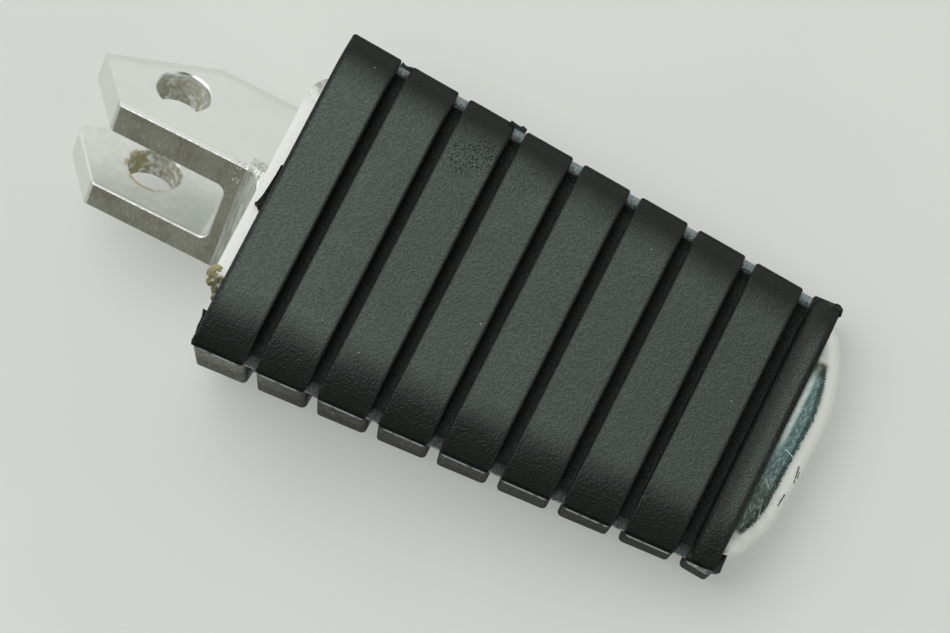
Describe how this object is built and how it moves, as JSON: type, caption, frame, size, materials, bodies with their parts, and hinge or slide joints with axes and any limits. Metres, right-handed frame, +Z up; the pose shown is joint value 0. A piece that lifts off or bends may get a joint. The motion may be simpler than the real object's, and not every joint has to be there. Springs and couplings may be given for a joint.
{
  "type": "motorcycle footpeg",
  "caption": "Folding motorcycle footpeg: cast aluminium core with a forked hinge end and rounded outer head, and a tapered black ribbed rubber tread.",
  "frame": {"origin": "middle of the pivot bore, on its axis", "axes": "+X from the hinge end towards the outer end, level; +Y across the tread, towards the side that the bore's upper end leans to; +Z up, as the peg rests on a level floor on the lower edge of its flange and the lower outer edge of the rubber"},
  "size_m": [0.1206, 0.0521, 0.0314],
  "materials": {
    "cast_aluminium": "satin",
    "black_rubber": "satin"
  },
  "bodies": {
    "root": {"peg_core": "cast_aluminium", "rubber_sleeve": "black_rubber"}
  },
  "joints": []
}
